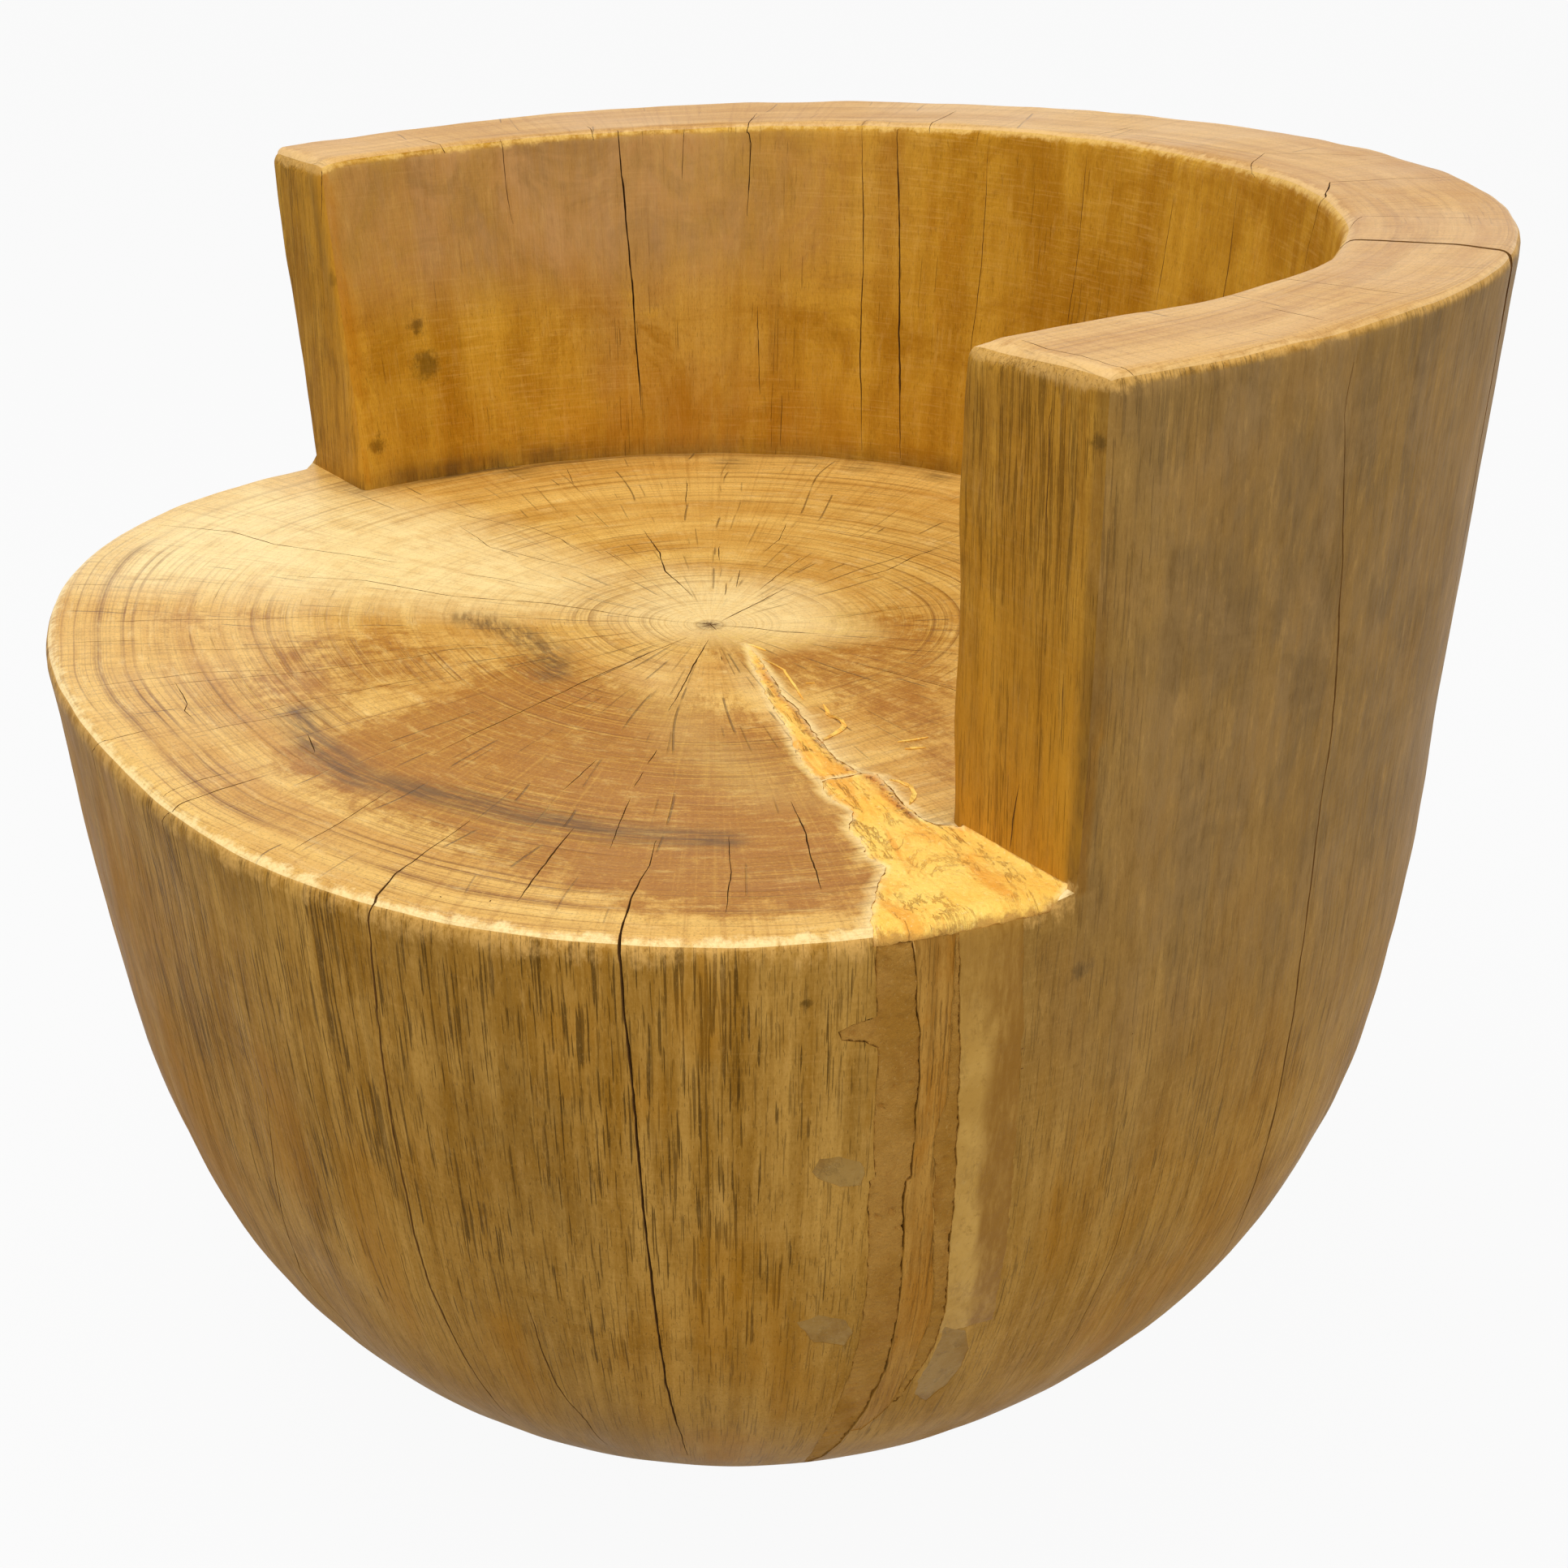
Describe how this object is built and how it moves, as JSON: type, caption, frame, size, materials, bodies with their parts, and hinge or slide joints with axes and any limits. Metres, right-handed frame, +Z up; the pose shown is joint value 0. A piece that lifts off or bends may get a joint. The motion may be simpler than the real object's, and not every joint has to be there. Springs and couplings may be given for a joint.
{
  "type": "tree trunk chair",
  "caption": "Round lounge chair carved from one log, with a wraparound back, an end grain seat and a filled drying split.",
  "frame": {"origin": "centre of the flat sawn foot that the chair stands on", "axes": "+Z up along the log's grain, -Y towards the open front of the seat, +X towards the arm with the filled split"},
  "size_m": [0.7507, 0.6768, 0.5884],
  "materials": {
    "varnished_wood": "satin varnish",
    "sliver_wood": "satin varnish",
    "golden_filler": "varnished wood filler",
    "rough_filler": "rough wood filler",
    "smooth_filler": "smooth wood filler",
    "grey_filler": "smooth wood filler"
  },
  "bodies": {
    "root": {"trunk": "varnished_wood", "seat_filler": "golden_filler", "vein_filler": "golden_filler", "side_filler": "rough_filler", "wood_sliver": "sliver_wood", "seam_filler": "rough_filler", "smooth_filler": "smooth_filler", "upper_filler_spot": "grey_filler", "lower_filler_spot": "grey_filler", "lens_filler_spot": "grey_filler"}
  },
  "joints": []
}
